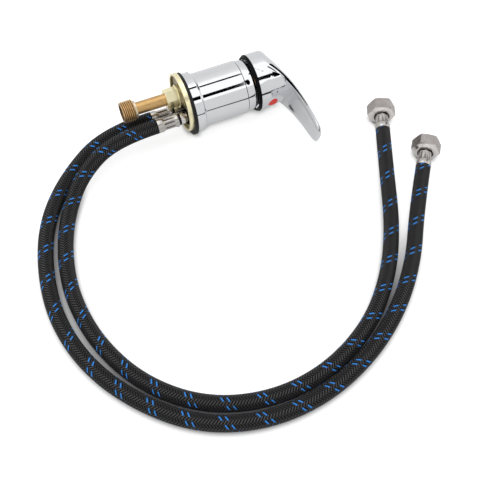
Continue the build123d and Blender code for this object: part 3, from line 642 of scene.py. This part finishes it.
braid_black, tree = new_finish("braided_nylon")
chart = tree.node("ShaderNodeUVMap", {"uv_map": "braid"})
along = tree.node("ShaderNodeSeparateXYZ", None, {"Vector": chart}, "X") * (BRAID_YARNS / BRAID_PITCH)
around = tree.node("ShaderNodeSeparateXYZ", None, {"Vector": chart}, "Y") * BRAID_YARNS
left = along + around
right = along - around
left_yarn = tree.math("FLOOR", left)
right_yarn = tree.math("FLOOR", right)
left_over = (left_yarn - right_yarn) % (2 * YARNS_OVER) < YARNS_OVER - 0.5
left_round = abs(tree.math("SINE", left * (math.pi * YARN_ENDS)))
right_round = abs(tree.math("SINE", right * (math.pi * YARN_ENDS)))
swell = left_over * left_round + (1.0 - left_over) * right_round
carrier = right_yarn % BRAID_YARNS
first_end = (right - right_yarn) * YARN_ENDS < TRACER_WIDTH
one, other = (tree.math("COMPARE", carrier, number, 0.5) for number in TRACER_CARRIERS)
tracer = (one + other) * first_end * (1.0 - left_over)
fuzz = speckle(tree, scale=2500.0)
# Crests of the yarns are lightened, more on the left-hand yarns, with noise: painted highlight where the
# yarns catch the light.
left_crest = abs(tree.math("SINE", left * math.pi))
right_crest = abs(tree.math("SINE", right * math.pi))
crest = left_over * left_crest + (1.0 - left_over) * right_crest
gleam = RIGHT_GLEAM + left_over * (LEFT_GLEAM - RIGHT_GLEAM)
painted_glint = crest ** CREST_POWER * gleam * (LEAST_FUZZ + fuzz)
yarn_colour = blend(tree, painted_glint, NYLON, PAINTED_YARN_GLINT)
relief = tree.node("ShaderNodeBump", None, {"Strength": 0.9, "Distance": 0.0005, "Height": swell})
close_finish(
    tree,
    blend(tree, tracer, yarn_colour, TRACER),
    roughness=0.6 - swell * 0.15,
    bump=relief,
    Specular_IOR_Level=0.12,
)
for side, points in hose_lines.items():
    hose, length = hose_tube(f"{side}_braided_hose", points, braid_black, *BRAID_LAY[side])
    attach(hose, "faucet")
    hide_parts(f"{side}_hose")


# Table and light: a white table under wide soft boxes, with dark gaps between them.
# The gaps lie along the body, and the plating shows them as thin black lines; a dark flag
# and a dark disc stand beyond the lever, and the blade and the bonnet show those.

FLOOR_HALF = 4.0
TABLE_TONE = (0.45, 0.45, 0.45, 1.0)
TABLE_LIFT = 0.76
MIRROR_CUT = 0.40
CONTACT_REACH = 0.009
CONTACT_GAIN = 2.4
CONTACT_DARK = 0.75
floor_mesh = bpy.data.meshes.new("table")
floor_mesh.from_pydata(
    [
        (-FLOOR_HALF, -FLOOR_HALF, 0.0),
        (FLOOR_HALF, -FLOOR_HALF, 0.0),
        (FLOOR_HALF, FLOOR_HALF, 0.0),
        (-FLOOR_HALF, FLOOR_HALF, 0.0),
    ],
    [],
    [(0, 1, 2, 3)],
)
floor = bpy.data.objects.new("table", floor_mesh)
bpy.context.scene.collection.objects.link(floor)
table_white, tree = new_finish("white_table")
ray = tree.node("ShaderNodeLightPath", None, None, "Is Camera Ray")
mirror_ray = tree.node("ShaderNodeLightPath", None, None, "Is Glossy Ray")
glass_ray = tree.node("ShaderNodeLightPath", None, None, "Is Transmission Ray")
seen = tree.math("MINIMUM", ray + mirror_ray + glass_ray, 1.0)
matt = tree.node("ShaderNodeBsdfDiffuse", None, {"Color": TABLE_TONE})
# The table's glow is cut where ambient occlusion finds the faucet near: painted contact shadow, darkest
# between the hoses.
open_sky = tree.node("ShaderNodeAmbientOcclusion", {"samples": 8}, {"Distance": CONTACT_REACH}, "AO")
clear = tree.math("MAXIMUM", open_sky * CONTACT_GAIN - CONTACT_DARK, 0.0)
clear = tree.math("MINIMUM", clear, 1.0)
lift = clear * seen * (TABLE_LIFT - mirror_ray * MIRROR_CUT)
glow = tree.node("ShaderNodeEmission", None, {"Color": (1.0, 1.0, 1.0, 1.0), "Strength": lift})
lit = tree.node("ShaderNodeAddShader", None, {0: matt, 1: glow})
tree.node("ShaderNodeOutputMaterial", None, {"Surface": lit})
floor_mesh.materials.append(table_white)

BRIGHTEST = 1.4
SKY_BANDS = (
    (-180.0, 0.86), (-60.0, 0.88), (-36.0, 1.0), (-24.0, 1.38), (50.0, 1.38), (52.0, 0.87), (180.0, 0.86),
)
GAPS = ((-10.5, 3.5, -90.0, 15.6), (33.5, 6.5, -90.0, 15.6), (25.0, 3.5, 15.6, 20.5))
FLAG_AXIS = (0.818, -0.550, -0.165)
FLAG_ANGLE = 64.5
FLAG_HALF = 7.0
FLAG_FROM = 0.55
FLAG_LEAN = -5.0
BLOT_CENTRE = (32.0, 26.5)
BLOT_HALF = (13.0, 8.0)
TO_DEGREES = math.degrees(1.0)
world = bpy.data.worlds.new("studio")
world.use_nodes = True
world.node_tree.nodes.clear()
bpy.context.scene.world = world
sky = Wire(world.node_tree)
heading = sky.node("ShaderNodeTexCoord", None, None, "Generated")
aside = sky.node("ShaderNodeSeparateXYZ", None, {"Vector": heading}, "X")
back = sky.node("ShaderNodeSeparateXYZ", None, {"Vector": heading}, "Y")
upward = sky.node("ShaderNodeSeparateXYZ", None, {"Vector": heading}, "Z")
lean = sky.math("ARCTAN2", back * -1.0, upward) * TO_DEGREES
slew = sky.math("ARCSINE", aside) * TO_DEGREES
bands = sky.node(
    "ShaderNodeValToRGB",
    {"stops": [((angle + 180.0) / 360.0, (level / BRIGHTEST,) * 3) for angle, level in SKY_BANDS]},
    {"Fac": (lean + 180.0) / 360.0},
)
flag_turn = sky.math("ARCCOSINE", aside * FLAG_AXIS[0] + back * FLAG_AXIS[1] + upward * FLAG_AXIS[2])
flag_off = abs(flag_turn * TO_DEGREES - FLAG_ANGLE)
shade = (flag_off < FLAG_HALF) * (aside > FLAG_FROM) * (lean < FLAG_LEAN)
for centre, half_width, slew_from, slew_end in GAPS:
    gap = (abs(lean - centre) < half_width) * (slew > slew_from) * (slew < slew_end)
    shade = sky.math("MAXIMUM", shade, gap)
blot_lean = (lean - BLOT_CENTRE[0]) / BLOT_HALF[0]
blot_slew = (slew - BLOT_CENTRE[1]) / BLOT_HALF[1]
shade = sky.math("MAXIMUM", shade, (blot_lean * blot_lean + blot_slew * blot_slew) < 1.0)
direct = sky.node("ShaderNodeLightPath", None, None, "Is Camera Ray")
strength = direct + (1.0 - direct) * (1.0 - shade) * bands * BRIGHTEST
backdrop = sky.node("ShaderNodeBackground", None, {"Color": (1.0, 1.0, 1.0, 1.0), "Strength": strength})
sky.node("ShaderNodeOutputWorld", None, {"Surface": backdrop})

LAMP_WIDTH = 1.6
LAMP_DEPTH = 1.2
LAMP_POWER = 6.0
LAMP_PLACE = Vector((-0.5, 0.5, 1.6))
LAMP_AIM = Vector((0.0, -0.1, 0.0))
lamp = bpy.data.lights.new("soft_box", "AREA")
lamp.shape = "RECTANGLE"
lamp.size = LAMP_WIDTH
lamp.size_y = LAMP_DEPTH
lamp.energy = LAMP_POWER
soft_box = bpy.data.objects.new("soft_box", lamp)
soft_box.location = LAMP_PLACE
soft_box.rotation_euler = (LAMP_AIM - LAMP_PLACE).to_track_quat("-Z", "Y").to_euler()
bpy.context.scene.collection.objects.link(soft_box)


# Camera: above the loop of the hoses, looking down along the photograph's line of sight.
# Its place is set from the deck face, and its angle of view covers the square frame.

CAMERA_FROM_DECK = (-0.1606, -0.5176, 0.647)
SIGHT_PITCH = math.radians(58.0)
SIGHT_TURN = math.radians(22.9)
FOCAL_PIXELS = 840.0
HALF_FRAME = 240.0
camera_data = bpy.data.cameras.new("camera")
camera_data.angle = 2.0 * math.atan(HALF_FRAME / FOCAL_PIXELS)
camera = bpy.data.objects.new("camera", camera_data)
camera.location = (
    CAMERA_FROM_DECK[0] + deck_x,
    CAMERA_FROM_DECK[1] + axis_y,
    CAMERA_FROM_DECK[2],
)
sight = Vector(
    (
        math.cos(SIGHT_PITCH) * math.sin(SIGHT_TURN),
        math.cos(SIGHT_PITCH) * math.cos(SIGHT_TURN),
        -math.sin(SIGHT_PITCH),
    )
)
camera.rotation_euler = sight.to_track_quat("-Z", "Y").to_euler()
bpy.context.scene.collection.objects.link(camera)
bpy.context.scene.camera = camera
bpy.context.scene.view_settings.view_transform = "Standard"
